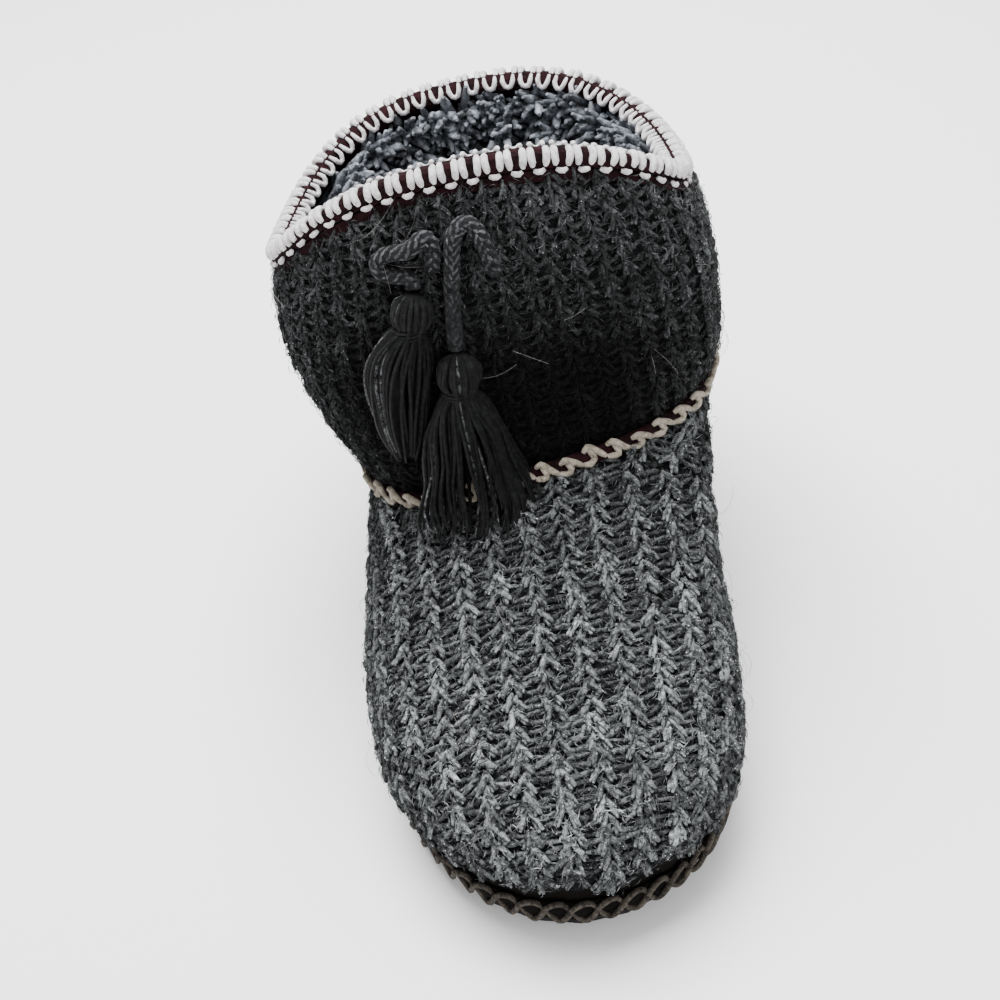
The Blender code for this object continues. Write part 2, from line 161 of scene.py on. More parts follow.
def pliesShape(length, width, material, count):
    # one leg of a stitch along Y: two plies, each of a few points, twisted about each other
    plies = []
    for ply in (0, 1):
        shares = np.linspace(0, 1, count)
        turns = math.pi * (ply + 0.9 * shares)
        plies.append(np.stack([
            0.24 * width * np.cos(turns), length * (shares - 0.5), 0.24 * width * np.sin(turns)], axis=1))
    taper = ([0, 0.35, 0.65, 1], [0.5, 1, 1, 0.5])
    return yarnTubes("pliesShape", plies, 0.66 * width, material, taper=taper, sides=0)


def fibreShape(length, width, material):
    # a loose fibre along Y, bowed in the middle
    work = bmesh.new()
    for turn in (90, -90):
        cone = bmesh.ops.create_cone(
            work, cap_ends=False, segments=3, radius1=width / 2, radius2=0, depth=length / 2)["verts"]
        bmesh.ops.translate(work, verts=cone, vec=(0, 0, length / 4))
        bmesh.ops.rotate(work, verts=cone, matrix=Matrix.Rotation(math.radians(turn), 3, "X"))
    middle = [vert for vert in work.verts if abs(vert.co.y) < length / 8]
    bmesh.ops.translate(work, verts=middle, vec=(0.12 * length, 0, 0.08 * length))
    return newPiece("fibreShape", work, material)


# Finding the shoe's surface

def surfaceTree(*names):
    work = bmesh.new()
    for name in names:
        work.from_mesh(nodes[name].data)
    bmesh.ops.remove_doubles(work, verts=work.verts, dist=1e-6)
    tree = BVHTree.FromBMesh(work)
    work.free()
    return tree


def hitFromOutside(tree, centre, direction):
    # the first point of the surface on the way in to centre, from well outside
    point, normal, _, _ = tree.ray_cast(centre + direction * 0.3, -direction)
    if point is None or (point - centre).dot(direction) < 0.005:
        return None
    return (*point, *normal)


def shaftMiddle(z):
    # the middle of the leaning shaft at a height
    return Vector((0.002 - 0.085 * (z - 0.08), 0.0475 + 0.04 * (z - 0.08), z))


def lengthsAlong(points):
    steps = np.linalg.norm(np.diff(points[:, :3], axis=0), axis=1)
    return np.concatenate([[0], np.cumsum(steps)])


def resample(points, lengths, places):
    return np.stack([np.interp(places, lengths, points[:, i]) for i in range(points.shape[1])], axis=1)


def smoothTrack(points):
    # a track of (point, normal) rows at even steps of 1 mm, with the facets smoothed away
    reach = 4  # steps on either side that are averaged
    lengths = lengthsAlong(points)
    if lengths[-1] < 0.006:
        return None
    even = resample(points, lengths, np.linspace(0, lengths[-1], int(lengths[-1] / 0.001) + 2))
    padded = np.concatenate([
        2 * even[:1] - even[reach:0:-1] if len(even) > reach else even[:1].repeat(reach, 0),
        even,
        2 * even[-1:] - even[-2:-2 - reach:-1] if len(even) > reach + 1 else even[-1:].repeat(reach, 0)])
    kernel = np.ones(2 * reach + 1) / (2 * reach + 1)
    return np.stack([np.convolve(padded[:, i], kernel, "valid") for i in range(6)], axis=1)


def framesAlong(track, course, start):
    # (point, across, along, out) for each course of stitches along a track
    lengths = lengthsAlong(track)
    places = np.arange(start, lengths[-1] - 0.3 * course, course)
    if not len(places):
        return []
    here, ahead, behind = (resample(track, lengths, places + shift) for shift in (0, 0.0008, -0.0008))
    frames = []
    for row, before, after in zip(here, behind, ahead):
        along = Vector(after[:3] - before[:3]).normalized()
        out = Vector(row[3:]).normalized()
        out = (out - along * out.dot(along)).normalized()
        frames.append((Vector(row[:3]), along.cross(out), along, out))
    return frames


# Camera, floor and light

cameraSettings = {
    "place": (0.0088, -0.3657, 0.4164),
    "aim": (-0.0069, 0.0014, 0.06),
    "roll": -7.5,  # degrees, as the photograph's shoe leans in its frame
    "lens": 57.6,
}
lightSettings = {
    "overhead": {"place": (-0.10, 0.25, 1.1), "size": 0.8, "power": 41.0},
    "front": {"place": (0.5, -0.9, 0.7), "size": 1.0, "power": 6.0},
}
roomLight = 0.80


def addCamera():
    data = bpy.data.cameras.new("camera")
    data.lens = cameraSettings["lens"]
    camera = bpy.data.objects.new("camera", data)
    bpy.context.scene.collection.objects.link(camera)
    place = Vector(cameraSettings["place"])
    facing = (Vector(cameraSettings["aim"]) - place).to_track_quat("-Z", "Y").to_matrix().to_4x4()
    roll = Matrix.Rotation(math.radians(cameraSettings["roll"]), 4, "Z")
    camera.matrix_world = Matrix.Translation(place) @ facing @ roll
    bpy.context.scene.camera = camera
    print("camera placed")


def addLight(name, place, size, power):
    data = bpy.data.lights.new(name, "AREA")
    data.size = size
    data.energy = power
    light = bpy.data.objects.new(name, data)
    bpy.context.scene.collection.objects.link(light)
    light.location = place
    light.rotation_euler = (Vector((0, 0, 0.06)) - Vector(place)).to_track_quat("-Z", "Y").to_euler()


def addStage():
    work = bmesh.new()
    bmesh.ops.create_grid(work, x_segments=1, y_segments=1, size=6)
    newPiece("floor", work, floorFinish())
    for name, settings in lightSettings.items():
        addLight(name, **settings)
    world = bpy.data.worlds.new("room")
    world.use_nodes = True
    world.node_tree.nodes["Background"].inputs["Color"].default_value = (1, 1, 1, 1)
    world.node_tree.nodes["Background"].inputs["Strength"].default_value = roomLight
    bpy.context.scene.world = world
    print("floor and lights placed")


# Shader groups and finishes

def newGroup(name, inputs, outputs):
    tree = bpy.data.node_groups.new(name, "ShaderNodeTree")
    for label, kind in inputs.items():
        tree.interface.new_socket(label, in_out="INPUT", socket_type=kind)
    for label, kind in outputs.items():
        tree.interface.new_socket(label, in_out="OUTPUT", socket_type=kind)
    return tree, tree.nodes.new("NodeGroupInput").outputs, tree.nodes.new("NodeGroupOutput").inputs


def mixColours(tree, share, first, second):
    mix = addNode(tree, "ShaderNodeMix", {"Factor": share, "A": first, "B": second}, data_type="RGBA")
    return mix.outputs["Result"]


def buildWoolFibre():
    # spun wool: dark and light fibres mixed, and the height of the fuzz
    tree, given, made = newGroup(
        "woolFibre",
        {"Place": "NodeSocketVector", "Scale": "NodeSocketFloat", "Low": "NodeSocketFloat",
         "High": "NodeSocketFloat", "Dark": "NodeSocketColor", "Light": "NodeSocketColor"},
        {"Color": "NodeSocketColor", "Height": "NodeSocketFloat"})
    fuzz = addNode(tree, "ShaderNodeTexNoise", {
        "Vector": given["Place"], "Scale": given["Scale"], "Detail": 6.0, "Roughness": 0.75,
        "Distortion": 1.2})
    coarse = addNode(tree, "ShaderNodeMath", {0: given["Scale"], 1: 0.4}, operation="MULTIPLY")
    marl = addNode(tree, "ShaderNodeTexNoise", {
        "Vector": given["Place"], "Scale": coarse.outputs[0], "Detail": 3.0, "Distortion": 0.8})
    spread = addNode(tree, "ShaderNodeMath", {0: fuzz.outputs[0], 1: marl.outputs[0]}, operation="ADD")
    share = addNode(tree, "ShaderNodeMapRange", {
        "Value": spread.outputs[0], "From Min": given["Low"], "From Max": given["High"]})
    tree.links.new(mixColours(tree, share.outputs[0], given["Dark"], given["Light"]), made["Color"])
    tree.links.new(fuzz.outputs[0], made["Height"])
    return tree


def buildMetalGlints():
    # short bits of metallic thread that show here and there
    tree, given, made = newGroup(
        "metalGlints",
        {"Place": "NodeSocketVector", "Scale": "NodeSocketFloat", "Share": "NodeSocketFloat"},
        {"Mask": "NodeSocketFloat"})
    cells = addNode(tree, "ShaderNodeTexVoronoi", {"Vector": given["Place"], "Scale": given["Scale"]})
    dot = addNode(tree, "ShaderNodeMath", {0: cells.outputs["Distance"], 1: 0.24}, operation="LESS_THAN")
    chance = addNode(tree, "ShaderNodeSeparateColor", {"Color": cells.outputs["Color"]})
    rare = addNode(tree, "ShaderNodeMath", {0: chance.outputs[0], 1: given["Share"]}, operation="LESS_THAN")
    both = addNode(tree, "ShaderNodeMath", {0: dot.outputs[0], 1: rare.outputs[0]}, operation="MULTIPLY")
    tree.links.new(both.outputs[0], made["Mask"])
    return tree


woolFibre = buildWoolFibre()
metalGlints = buildMetalGlints()


def newFinish(name, roughness, sheen=0.0, specular=0.12):
    material = bpy.data.materials.new(name)
    material.use_nodes = True
    tree = material.node_tree
    shader = tree.nodes["Principled BSDF"]
    shader.inputs["Roughness"].default_value = roughness
    shader.inputs["Sheen Weight"].default_value = sheen
    shader.inputs["Sheen Roughness"].default_value = 0.5
    shader.inputs["Specular IOR Level"].default_value = specular
    place = tree.nodes.new("ShaderNodeTexCoord").outputs["Object"]
    return material, tree, shader, place


def woolFinish(name, dark, light, scale=1500.0, shaded=False, glints=0.0, sheen=0.05, spread=(0.8, 1.25),
               roughness=0.92, specular=0.12):
    material, tree, shader, place = newFinish(name, roughness, sheen, specular)
    wool = addNode(tree, "ShaderNodeGroup", node_tree=woolFibre)
    tree.links.new(place, wool.inputs["Place"])
    wool.inputs["Scale"].default_value = scale
    wool.inputs["Low"].default_value = spread[0]
    wool.inputs["High"].default_value = spread[1]
    wool.inputs["Dark"].default_value = (*dark, 1)
    wool.inputs["Light"].default_value = (*light, 1)
    colour = wool.outputs["Color"]
    if glints:
        metal = addNode(tree, "ShaderNodeGroup", node_tree=metalGlints)
        tree.links.new(place, metal.inputs["Place"])
        metal.inputs["Scale"].default_value = 1300.0
        metal.inputs["Share"].default_value = glints
        mask = metal.outputs["Mask"]
        colour = mixColours(tree, mask, colour, (0.9, 0.92, 0.95, 1))
        gloss = addNode(tree, "ShaderNodeMapRange", {"Value": mask, "To Min": roughness, "To Max": 0.35})
        tree.links.new(gloss.outputs[0], shader.inputs["Roughness"])
        tree.links.new(mask, shader.inputs["Metallic"])
    # each copy's shade value scales the colour: random tone, and on the knit, its fuzz and the tie, painted
    # light and shade
    if shaded:
        shade = addNode(tree, "ShaderNodeAttribute", attribute_name="shade")
        colour = addNode(tree, "ShaderNodeVectorMath", {0: colour, "Scale": shade.outputs["Fac"]},
                         operation="SCALE").outputs[0]
    relief = addNode(tree, "ShaderNodeBump", {
        "Height": wool.outputs["Height"], "Distance": 0.0007, "Strength": 0.9})
    tree.links.new(colour, shader.inputs["Base Color"])
    tree.links.new(relief.outputs[0], shader.inputs["Normal"])
    return material


def floorFinish():
    material, tree, shader, place = newFinish("paleFloor", 0.8)
    cloud = addNode(tree, "ShaderNodeTexNoise", {"Vector": place, "Scale": 3.0})
    tone = mixColours(tree, cloud.outputs[0], (0.94, 0.94, 0.94, 1), (0.965, 0.965, 0.965, 1))
    tree.links.new(tone, shader.inputs["Base Color"])
    return material


def suedeFinish():
    material, tree, shader, place = newFinish("darkSuede", 0.95, specular=0.05)
    nap = addNode(tree, "ShaderNodeTexNoise", {
        "Vector": place, "Scale": 2600.0, "Detail": 5.0, "Roughness": 0.7})
    worn = addNode(tree, "ShaderNodeTexNoise", {"Vector": place, "Scale": 90.0, "Detail": 3.0})
    amount = addNode(tree, "ShaderNodeMath", {0: nap.outputs[0], 1: worn.outputs[0]}, operation="MULTIPLY")
    tone = mixColours(tree, amount.outputs[0], (0.0012, 0.0009, 0.0008, 1), (0.007, 0.0052, 0.0042, 1))
    relief = addNode(tree, "ShaderNodeBump", {"Height": nap.outputs[0], "Distance": 0.0003, "Strength": 0.7})
    tree.links.new(tone, shader.inputs["Base Color"])
    tree.links.new(relief.outputs[0], shader.inputs["Normal"])
    return material


def soleFinish():
    # matt rubber, with raised dots under the sole only
    material, tree, shader, place = newFinish("soleRubber", 0.8)
    grain = addNode(tree, "ShaderNodeTexNoise", {"Vector": place, "Scale": 1400.0, "Detail": 3.0})
    dust = addNode(tree, "ShaderNodeTexNoise", {"Vector": place, "Scale": 60.0, "Detail": 6.0})
    tone = mixColours(tree, dust.outputs[0], (0.004, 0.004, 0.0045, 1), (0.018, 0.017, 0.016, 1))
    level = addNode(tree, "ShaderNodeSeparateXYZ", {"Vector": place})
    under = addNode(tree, "ShaderNodeMath", {0: level.outputs["Z"], 1: 0.0004}, operation="LESS_THAN")
    cells = addNode(tree, "ShaderNodeTexVoronoi", {"Vector": place, "Scale": 240.0, "Randomness": 0.0})
    dot = addNode(tree, "ShaderNodeMapRange", {
        "Value": cells.outputs["Distance"], "From Min": 0.42, "From Max": 0.30})
    tread = addNode(tree, "ShaderNodeMath", {0: dot.outputs[0], 1: under.outputs[0]}, operation="MULTIPLY")
    relief = addNode(tree, "ShaderNodeBump", {
        "Height": grain.outputs[0], "Distance": 0.0002, "Strength": 0.5})
    dots = addNode(tree, "ShaderNodeBump", {
        "Height": tread.outputs[0], "Distance": 0.0008, "Strength": 0.9, "Normal": relief.outputs[0]})
    tree.links.new(tone, shader.inputs["Base Color"])
    tree.links.new(dots.outputs[0], shader.inputs["Normal"])
    return material


knitFinish = woolFinish(
    "greyMarlKnit", (0.007, 0.008, 0.009), (0.28, 0.295, 0.30), shaded=True, glints=0.22, sheen=0.02,
    spread=(0.84, 1.22), specular=0.06)
fuzzFinish = woolFinish(
    "woolFuzz", (0.04, 0.042, 0.044), (0.30, 0.31, 0.32), shaded=True, sheen=0.02, specular=0.06)
# painted shade: the backing under the knit is near black, as the shade in the gaps between the stitches
backingShadeFinish = woolFinish(
    "knitBackingShade", (0.002, 0.002, 0.0024), (0.012, 0.0126, 0.0134), sheen=0.0, specular=0.05)
whiteFinish = woolFinish("whiteYarn", (0.30, 0.27, 0.28), (0.84, 0.81, 0.82), spread=(0.6, 1.15))
beigeFinish = woolFinish("beigeYarn", (0.10, 0.083, 0.062), (0.43, 0.38, 0.31), spread=(0.7, 1.2))
taupeFinish = woolFinish("taupeYarn", (0.016, 0.013, 0.011), (0.105, 0.090, 0.074), sheen=0.0)
maroonFinish = woolFinish(
    "maroonTape", (0.003, 0.001, 0.0012), (0.024, 0.0055, 0.008), scale=900.0, sheen=0.0)
pileFinish = woolFinish("greyBluePile", (0.045, 0.050, 0.059), (0.29, 0.312, 0.35), scale=900.0, shaded=True)
pileBackFinish = woolFinish("pileBacking", (0.008, 0.009, 0.012), (0.045, 0.051, 0.061), scale=700.0)
hairFinish = woolFinish("paleHair", (0.09, 0.086, 0.082), (0.32, 0.31, 0.295))
cordFinish = woolFinish(
    "blackCord", (0.006, 0.006, 0.007), (0.080, 0.084, 0.088), shaded=True, sheen=0.02, spread=(0.8, 1.2),
    specular=0.06)
# painted shade: the cord's core shows only between the stitches, and is painted darker than them
cordCoreFinish = woolFinish("blackCordCore", (0.002, 0.002, 0.0025), (0.022, 0.023, 0.0245), sheen=0.02)
tasselFinish = woolFinish(
    "blackYarn", (0.001, 0.001, 0.0012), (0.014, 0.015, 0.016), sheen=0.0, spread=(0.95, 1.3), roughness=0.6,
    specular=0.15)
# painted light: a paler finish for some strands of the tassels' black yarn, standing for strands lit from
# above
paintedLightStrandFinish = woolFinish(
    "litStrandPaintedLight", (0.004, 0.004, 0.005), (0.19, 0.195, 0.20), sheen=0.0, spread=(0.9, 1.25))


def dressCadNodes():
    suede = suedeFinish()
    for name, finish in {
        "upper": backingShadeFinish, "shaft": backingShadeFinish, "rand": suede, "outsole": soleFinish(),
        "insole": pileBackFinish, "lining": pileBackFinish, "collar_binding": maroonFinish,
        "collar_braid": maroonFinish, "ankle_braid": maroonFinish, "sole_braid": suede,
    }.items():
        nodes[name].data.materials.clear()
        nodes[name].data.materials.append(finish)
    print("carried-over solids dressed")


# The tie

cordSettings = {
    "diameter": 0.0046, "spacing": 0.0014, "stitch": (0.0031, 0.0015),
    "right": (
        (0.0004, -0.0092, 0.1569), (-0.0004, -0.0096, 0.1604), (-0.0014, -0.0086, 0.1648),
        (-0.0029, -0.0076, 0.1690), (-0.0057, -0.0069, 0.1720), (-0.0088, -0.0072, 0.1703),
        (-0.0104, -0.0080, 0.1656), (-0.0110, -0.0090, 0.1599), (-0.0119, -0.0100, 0.1556),
        (-0.0121, -0.0110, 0.1520), (-0.0124, -0.0122, 0.1476), (-0.0126, -0.0133, 0.1434),
        (-0.0128, -0.0143, 0.1400), (-0.0129, -0.0151, 0.1364),
    ),
    "left": (
        (-0.0166, -0.0073, 0.1588), (-0.0161, -0.0078, 0.1626), (-0.0158, -0.0074, 0.1664),
        (-0.0174, -0.0073, 0.1690), (-0.0198, -0.0078, 0.1680), (-0.0224, -0.0082, 0.1659),
        (-0.0258, -0.0070, 0.1650), (-0.0295, -0.0058, 0.1634), (-0.0316, -0.0056, 0.1608),
        (-0.0304, -0.0067, 0.1586), (-0.0268, -0.0076, 0.1577), (-0.0238, -0.0085, 0.1577),
        (-0.0224, -0.0098, 0.1566), (-0.0224, -0.0107, 0.1551),
    ),
}


def smoothRoute(points, spacing):
    # a rounded route through given points, at even steps
    route = np.array(points)
    for _ in range(4):
        middle = (route[:-1] + route[1:]) / 2
        middle[1:-1] = 0.5625 * (route[1:-2] + route[2:-1]) - 0.0625 * (route[:-3] + route[3:])
        refined = np.empty((2 * len(route) - 1, 3))
        refined[::2] = route
        refined[1::2] = middle
        route = refined
    lengths = lengthsAlong(route)
    return resample(route, lengths, np.linspace(0, lengths[-1], round(lengths[-1] / spacing) + 1))


def crochetPlaces(route, diameter):
    # stitches that wind round a cord, each turned a little from the last
    places = []
    side = Vector((1, 0, 0))
    for number in range(1, len(route) - 1):
        along = Vector(route[number + 1] - route[number - 1]).normalized()
        side = (side - along * side.dot(along)).normalized()
        other = along.cross(side)
        for i in range(5):
            turn = 2 * math.pi * (i + 0.5 * (number % 2)) / 5
            out = side * math.cos(turn) + other * math.sin(turn)
            lean = 0.5 if i % 2 else -0.5
            heading = (along + along.cross(out) * lean).normalized()
            place = Vector(route[number]) + out * diameter * 0.36
            # painted light: the loops higher up are painted lighter, where light from above falls on them
            paintedLightByHeight = np.interp(place.z, (0.150, 0.170), (0.5, 1.5))  # the loops catch more light
            shade = (0.8 + 0.6 * dice.random()) * paintedLightByHeight
            places.append((place, heading.cross(out), heading, out, (1, 1, 1), shade))
    return places


def addTie(tassels):
    size = cordSettings["diameter"]
    for side in ("right", "left"):
        route = smoothRoute(cordSettings[side], cordSettings["spacing"])
        core = yarnTubes("tieCord" + side.title(), [route], size, cordCoreFinish, sides=2)
        ride(core)
        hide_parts("tie_" + side)
        stitch = leafShape(*cordSettings["stitch"], cordFinish)
        stitches = layCopies("tieStitches" + side.title(), stitch, crochetPlaces(route, size))
        ride(stitches)
    print("tie laid")


# The tassels: rows of (x, y, z, half width, half depth), from the cord down to the strands' ends

strandSettings = {
    # every paleEvery-th strand is laid thinner and paler, as painted light
    "yarn": 0.0012, "paleYarn": 0.0009, "paleEvery": 8,
    "neckRow": 5,  # where a tassel is bound
    "bindingTurns": 3,
    "hollow": 0.13,  # how the skirts bend round the shaft: twice the radius of its front
}
tasselSettings = {
    "right": {
        "strands": 120, "seed": 3,
        "rows": (
            (-0.0129, -0.0158, 0.1354, 0.0012, 0.0012), (-0.0129, -0.0168, 0.1340, 0.0045, 0.0038),
            (-0.0129, -0.0176, 0.1312, 0.0062, 0.0048), (-0.0130, -0.0179, 0.1285, 0.0064, 0.0050),
            (-0.0131, -0.0178, 0.1255, 0.0056, 0.0044), (-0.0134, -0.0176, 0.1233, 0.0042, 0.0035),
            (-0.0135, -0.0178, 0.1200, 0.0068, 0.0040), (-0.0134, -0.0183, 0.1150, 0.0092, 0.0041),
            (-0.0130, -0.0189, 0.1080, 0.0120, 0.0040), (-0.0126, -0.0205, 0.0985, 0.0146, 0.0038),
            (-0.0124, -0.0219, 0.0915, 0.0164, 0.0036), (-0.0122, -0.0262, 0.0855, 0.0178, 0.0032),
            (-0.0127, -0.0312, 0.0815, 0.0176, 0.0028), (-0.0134, -0.0356, 0.0788, 0.0170, 0.0022),
        ),
    },
    "left": {
        "strands": 88, "seed": 4,
        "rows": (
            (-0.0226, -0.0113, 0.1540, 0.0012, 0.0012), (-0.0230, -0.0122, 0.1525, 0.0045, 0.0038),
            (-0.0234, -0.0130, 0.1505, 0.0059, 0.0047), (-0.0238, -0.0134, 0.1485, 0.0060, 0.0048),
            (-0.0244, -0.0136, 0.1458, 0.0052, 0.0042), (-0.0250, -0.0138, 0.1435, 0.0042, 0.0034),
            (-0.0260, -0.0142, 0.1405, 0.0068, 0.0040), (-0.0283, -0.0149, 0.1350, 0.0090, 0.0042),
            (-0.0300, -0.0155, 0.1290, 0.0096, 0.0042), (-0.0312, -0.0157, 0.1200, 0.0090, 0.0040),
            (-0.0317, -0.0156, 0.1110, 0.0074, 0.0036), (-0.0319, -0.0155, 0.1030, 0.0052, 0.0030),
            (-0.0320, -0.0154, 0.0975, 0.0036, 0.0024),
        ),
    },
}


def tasselStrands(rows, count, chance):
    # yarns that run over the bound head and hang down as the skirt
    rows = np.array(rows)
    middles, halves = rows[:, :3], rows[:, 3:]
    neckRow, hollow = strandSettings["neckRow"], strandSettings["hollow"]
    strands = []
    for _ in range(count):
        turn = 2 * math.pi * chance.random()
        depth = 1 - 0.5 * chance.random() ** 2
        ends = 0.86 + 0.16 * chance.random()
        drift = 0.22 * chance.standard_normal()
        points = []
        for number in range(len(rows)):
            fall = Vector(middles[min(number + 1, len(rows) - 1)] - middles[max(number - 1, 0)]).normalized()
            out = Vector((0, 1, 0)).cross(fall).cross(fall).normalized()
            out = out if out.dot(Vector((0, -1, 1))) > 0 else -out
            across = fall.cross(out)
            skirt = max(0, number - neckRow) / (len(rows) - 1 - neckRow)
            angle = turn + drift * skirt
            wave = 1 + 0.06 * math.sin(3 * turn + 1.7 * number)
            side = (halves[number][0] - 0.0004) * math.cos(angle) * depth * wave
            proud = (halves[number][1] - 0.0003) * math.sin(angle) * depth - side * side / hollow
            points.append(Vector(middles[number]) + across * side + out * proud)
        route = smoothRoute([tuple(p) for p in points], 0.0022)
        strands.append(route[: max(6, int(len(route) * ends))])
    return strands


def addTassels():
    made = {}
    yarn, wound = strandSettings["yarn"], strandSettings["bindingTurns"]
    for side, settings in tasselSettings.items():
        chance = np.random.default_rng(settings["seed"])
        rows = settings["rows"]
        strands = tasselStrands(rows, settings["strands"], chance)
        taper = ([0, 0.1, 0.9, 1], [0.6, 1.2, 0.9, 0.5])
        every = strandSettings["paleEvery"]
        dark = [strand for number, strand in enumerate(strands) if number % every]
        skirt = yarnTubes("tassel" + side.title(), dark, yarn, tasselFinish, taper=taper)
        # painted light: every few strands are laid in a paler finish, as strands lit from above
        pale = yarnTubes(
            "tasselPale" + side.title(), strands[::every], strandSettings["paleYarn"], paintedLightStrandFinish,
            taper=taper)
        neck = np.array(rows[strandSettings["neckRow"]])
        band = [neck[:3] + np.array((
            1.02 * neck[3] * math.cos(a), 1.02 * neck[4] * math.sin(a), yarn / 2 * (a / math.pi - wound)))
            for a in np.linspace(0, 2 * math.pi * wound, 60)]
        binding = yarnTubes("tasselBinding" + side.title(), [np.array(band)], yarn, tasselFinish)
        for piece in (skirt, pale, binding):
            ride(piece)
        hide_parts("tassel_" + side)
        made[side] = [skirt, pale, binding]
    print("tassels tied")
    return made


# The knit: ribs of slanted stitches, with rungs of yarn lying deeper between them

knitSettings = {
    "pitch": {"foot": 0.0108, "shaft": 0.0074},  # from rib to rib
    "lowest": 0.0255, "ankleFront": -0.0225, "toeTip": -0.1232, "heelHinge": 0.062,
    "middleAtAnkle": 0.001, "middleAtToe": 0.0058,
    "underChain": 0.005,  # how far ribs run on under the chain at the ankle
}
# Each stitch has legs of (aside, ahead, turn, rise, tilt), in metres and degrees.
# A rung's tone below 1 is painted shade, as the rungs lie deeper between the ribs.
stitchSettings = {
    "footRibs": {
        "part": "foot", "offset": 0.0, "course": 0.0047, "length": 0.0072, "width": 0.0028, "points": 4,
        "tone": 1.0, "legs": ((-0.00135, 0, 28, 0.0007, 11), (0.00135, 0, -28, 0.0007, 11)),
    },
    "footRungs": {
        "part": "foot", "offset": 0.5, "course": 0.0047, "length": 0.0078, "width": 0.0024, "points": 4,
        "tone": 0.58, "legs": ((0, 0, 80, 0.0001, 0), (0, 0.0023, 97, -0.0005, 0)),
    },
    "shaftRibs": {
        "part": "shaft", "offset": 0.0, "course": 0.0033, "length": 0.0053, "width": 0.0021, "points": 3,
        "tone": 1.0, "legs": ((-0.00090, 0, 25, 0.0006, 10), (0.00090, 0, -25, 0.0006, 10)),
    },
    "shaftRungs": {
        "part": "shaft", "offset": 0.5, "course": 0.0033, "length": 0.0054, "width": 0.0020, "points": 3,
        "tone": 0.75, "legs": ((0, 0, 86, 0.0001, 0),),
    },
}
# how far single stitches stray from that plan
looseSettings = {
    "tone": 0.22, "legTone": 0.18, "turn": 8, "tilt": 5, "place": 0.0003, "girth": 0.12, "length": 0.08,
}
# painted light and shade over the knit's colour, on the foot and on the shaft
paintedShadeSettings = {
    "foot": {"side": 0.42, "top": 0.68, "ankle": 0.72, "toes": 0.33, "tip": 0.12},
    "shaft": {"plain": 0.45, "front": 0.43},
}


def footMiddle(y):
    share = (y - knitSettings["ankleFront"]) / (knitSettings["toeTip"] - knitSettings["ankleFront"])
    ankle, toe = knitSettings["middleAtAnkle"], knitSettings["middleAtToe"]
    return ankle + share * (toe - ankle)


def overTheFoot(tree, y, side):
    # the half section of the foot from its top down to the rand
    centre = Vector((footMiddle(y), y, knitSettings["lowest"]))
    rows = []
    for turn in np.linspace(0, math.pi / 2, 46):
        row = hitFromOutside(tree, centre, Vector((side * math.sin(turn), 0, math.cos(turn))))
        if row:
            rows.append(row)
    return np.array(rows) if len(rows) > 3 else None


def upTheSide(tree, centre, direction):
    # the profile of the foot's side from the rand up to the ankle seam
    rows = []
    for tilt in np.radians(np.arange(0, 80, 1.0)):
        row = hitFromOutside(tree, centre, direction * math.cos(tilt) + Vector((0, 0, math.sin(tilt))))
        if row and rows and math.dist(row[:3], rows[-1][:3]) > 0.006:
            break
        if row:
            rows.append(row)
        elif rows:
            break
    return np.array(rows)


def sideStations():
    # where profiles are taken from the ankle's front round to the middle of the heel
    straight = np.linspace(knitSettings["ankleFront"], knitSettings["heelHinge"], 24)
    lowest = knitSettings["lowest"]
    stations = [(Vector((0, y, lowest)), 0.0) for y in straight]
    hinge = Vector((0, knitSettings["heelHinge"], lowest))
    return stations + [(hinge, turn) for turn in np.linspace(0, math.pi / 2, 26)[1:]]


def footTracks(tree, side, offset, girthShift):
    # the lines that ribs (offset 0) or the rungs between them (offset 0.5) follow on one side
    pitch = knitSettings["pitch"]["foot"]
    share = 1 - np.cos(np.linspace(0.03, 1, 90) * math.pi / 2)
    fronts = []
    for y in knitSettings["toeTip"] + (knitSettings["ankleFront"] - knitSettings["toeTip"]) * share:
        rows = overTheFoot(tree, y, side)
        if rows is not None:
            fronts.append((rows, lengthsAlong(rows)))
    girth = fronts[-1][1][-1]
    rears = []
    for centre, turn in sideStations():
        rows = upTheSide(tree, centre, Vector((side * math.cos(turn), math.sin(turn), 0)))
        rears.append((rows, lengthsAlong(rows)))
    shift = girthShift * (-0.5 if side < 0 else 0.5)
    tracks = []
    first = 0 if side < 0 or offset else 1
    for number in range(first, int(girth / pitch) + 1):
        reach = (number + offset) * pitch
        front = [resample(rows, lengths, [reach])[0] for rows, lengths in fronts if lengths[-1] > reach]
        rear = []
        for place, (rows, lengths) in enumerate(rears):
            height = girth - reach + shift * place / (len(rears) - 1)
            if 0 < height < lengths[-1] - 0.002:
                rear.append(resample(rows, lengths, [height])[0])
            elif rear:
                break
        if len(rear) > 3:
            tracks.append(np.array(rear))
        elif len(front) > 3:
            beyond = front[-1].copy()
            heading = Vector(front[-1][:3] - front[-3][:3]).normalized()
            beyond[:3] += knitSettings["underChain"] * np.array(heading)
            front.append(beyond)
        if len(front) > 3:
            tracks.append(np.array(front))
    return tracks


